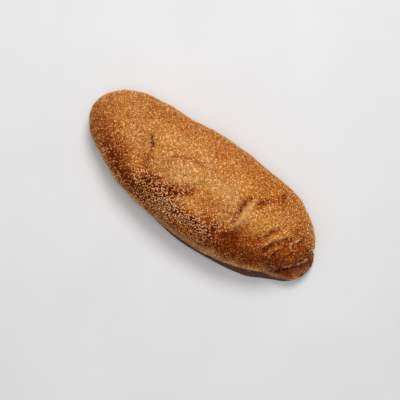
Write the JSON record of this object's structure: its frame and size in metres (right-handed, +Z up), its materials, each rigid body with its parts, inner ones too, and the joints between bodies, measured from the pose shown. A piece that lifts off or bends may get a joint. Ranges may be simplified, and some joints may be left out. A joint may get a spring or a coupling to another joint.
{
  "type": "fino bread roll",
  "caption": "Long oval bread roll with a creased brown crust covered in bran, a folded lip at one end and a flat base to lie on.",
  "frame": {"origin": "middle of the flat base that the roll lies on", "axes": "+X along the roll to the end with the seam, +Y to the smoother far side, +Z up"},
  "size_m": [0.1932, 0.0782, 0.0469],
  "materials": {
    "crust": "baked bread crust, matt and grainy with tan bran flakes on golden to dark brown"
  },
  "bodies": {
    "root": {"loaf": "crust"}
  },
  "joints": []
}
